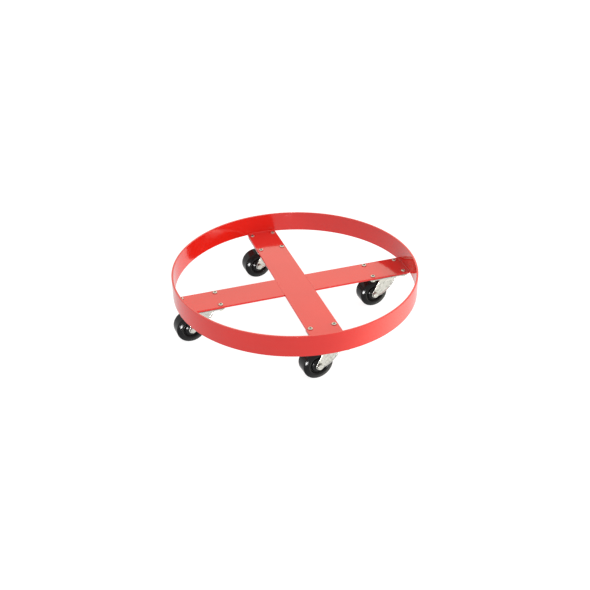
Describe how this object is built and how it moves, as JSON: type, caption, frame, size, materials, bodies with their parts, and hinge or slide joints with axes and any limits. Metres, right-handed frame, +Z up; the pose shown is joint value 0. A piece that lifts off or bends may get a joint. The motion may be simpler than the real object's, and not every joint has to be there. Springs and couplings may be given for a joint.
{
  "type": "drum dolly",
  "caption": "Round drum dolly: a rolled flat-bar hoop with a welded cross that carries a drum low to the floor on swivel casters.",
  "frame": {"origin": "on the floor, under the centre of the hoop", "axes": "+Z up, +X along the cross arm to the right, +Y along the through bar to the back"},
  "size_m": [0.6276, 0.6192, 0.1502],
  "materials": {
    "red_enamel": "glossy sprayed enamel over steel bar",
    "zinc_plated_steel": "bright zinc plate over pressed steel",
    "bearing_steel": "ground and lightly oiled",
    "black_wheel_plastic": "moulded, polished tread and side faces"
  },
  "bodies": {
    "root": {"hoop": "red_enamel", "cross_bar_long": "red_enamel", "cross_bar_right": "red_enamel", "cross_bar_left": "red_enamel", "front_top_plate": "zinc_plated_steel", "front_kingpin": "zinc_plated_steel", "front_lower_race": "zinc_plated_steel", "front_bolt_1": "zinc_plated_steel", "front_bolt_2": "zinc_plated_steel", "front_bolt_3": "zinc_plated_steel", "front_bolt_4": "zinc_plated_steel", "right_top_plate": "zinc_plated_steel", "right_kingpin": "zinc_plated_steel", "right_lower_race": "zinc_plated_steel", "right_bolt_1": "zinc_plated_steel", "right_bolt_2": "zinc_plated_steel", "right_bolt_3": "zinc_plated_steel", "right_bolt_4": "zinc_plated_steel", "back_top_plate": "zinc_plated_steel", "back_kingpin": "zinc_plated_steel", "back_lower_race": "zinc_plated_steel", "back_bolt_1": "zinc_plated_steel", "back_bolt_2": "zinc_plated_steel", "back_bolt_3": "zinc_plated_steel", "back_bolt_4": "zinc_plated_steel", "left_top_plate": "zinc_plated_steel", "left_kingpin": "zinc_plated_steel", "left_lower_race": "zinc_plated_steel", "left_bolt_1": "zinc_plated_steel", "left_bolt_2": "zinc_plated_steel", "left_bolt_3": "zinc_plated_steel", "left_bolt_4": "zinc_plated_steel"},
    "front_swivel": {"front_fork": "zinc_plated_steel", "front_upper_ball_ring": "bearing_steel", "front_lower_ball_ring": "bearing_steel", "front_axle_bushing": "bearing_steel", "front_axle_bolt": "zinc_plated_steel", "front_axle_nut": "zinc_plated_steel"},
    "front_wheel": {"front_wheel": "black_wheel_plastic"},
    "right_swivel": {"right_fork": "zinc_plated_steel", "right_upper_ball_ring": "bearing_steel", "right_lower_ball_ring": "bearing_steel", "right_axle_bushing": "bearing_steel", "right_axle_bolt": "zinc_plated_steel", "right_axle_nut": "zinc_plated_steel"},
    "right_wheel": {"right_wheel": "black_wheel_plastic"},
    "back_swivel": {"back_fork": "zinc_plated_steel", "back_upper_ball_ring": "bearing_steel", "back_lower_ball_ring": "bearing_steel", "back_axle_bushing": "bearing_steel", "back_axle_bolt": "zinc_plated_steel", "back_axle_nut": "zinc_plated_steel"},
    "back_wheel": {"back_wheel": "black_wheel_plastic"},
    "left_swivel": {"left_fork": "zinc_plated_steel", "left_upper_ball_ring": "bearing_steel", "left_lower_ball_ring": "bearing_steel", "left_axle_bushing": "bearing_steel", "left_axle_bolt": "zinc_plated_steel", "left_axle_nut": "zinc_plated_steel"},
    "left_wheel": {"left_wheel": "black_wheel_plastic"}
  },
  "joints": [
    {"name": "front_swivel_turn", "type": "hinge", "parent": "root", "child": "front_swivel", "pos_m": [0, -0.2459, 0.0375], "axis": [0, 0, 1], "continuous": true},
    {"name": "front_wheel_spin", "type": "hinge", "parent": "front_swivel", "child": "front_wheel", "pos_m": [-0.03335, -0.24911, 0.0375], "axis": [0.0958, -0.9954, 0], "continuous": true},
    {"name": "right_swivel_turn", "type": "hinge", "parent": "root", "child": "right_swivel", "pos_m": [0.2459, 0, 0.0375], "axis": [0, 0, 1], "continuous": true},
    {"name": "right_wheel_spin", "type": "hinge", "parent": "right_swivel", "child": "right_wheel", "pos_m": [0.21245, -0.00175, 0.0375], "axis": [0.0523, -0.9986, 0], "continuous": true},
    {"name": "back_swivel_turn", "type": "hinge", "parent": "root", "child": "back_swivel", "pos_m": [0, 0.2459, 0.0375], "axis": [0, 0, 1], "continuous": true},
    {"name": "back_wheel_spin", "type": "hinge", "parent": "back_swivel", "child": "back_wheel", "pos_m": [-0.03342, 0.24356, 0.0375], "axis": [0.0698, -0.9976, 0], "continuous": true},
    {"name": "left_swivel_turn", "type": "hinge", "parent": "root", "child": "left_swivel", "pos_m": [-0.2459, 0, 0.0375], "axis": [0, 0, 1], "continuous": true},
    {"name": "left_wheel_spin", "type": "hinge", "parent": "left_swivel", "child": "left_wheel", "pos_m": [-0.27927, -0.00292, 0.0375], "axis": [0.0872, -0.9962, 0], "continuous": true}
  ]
}
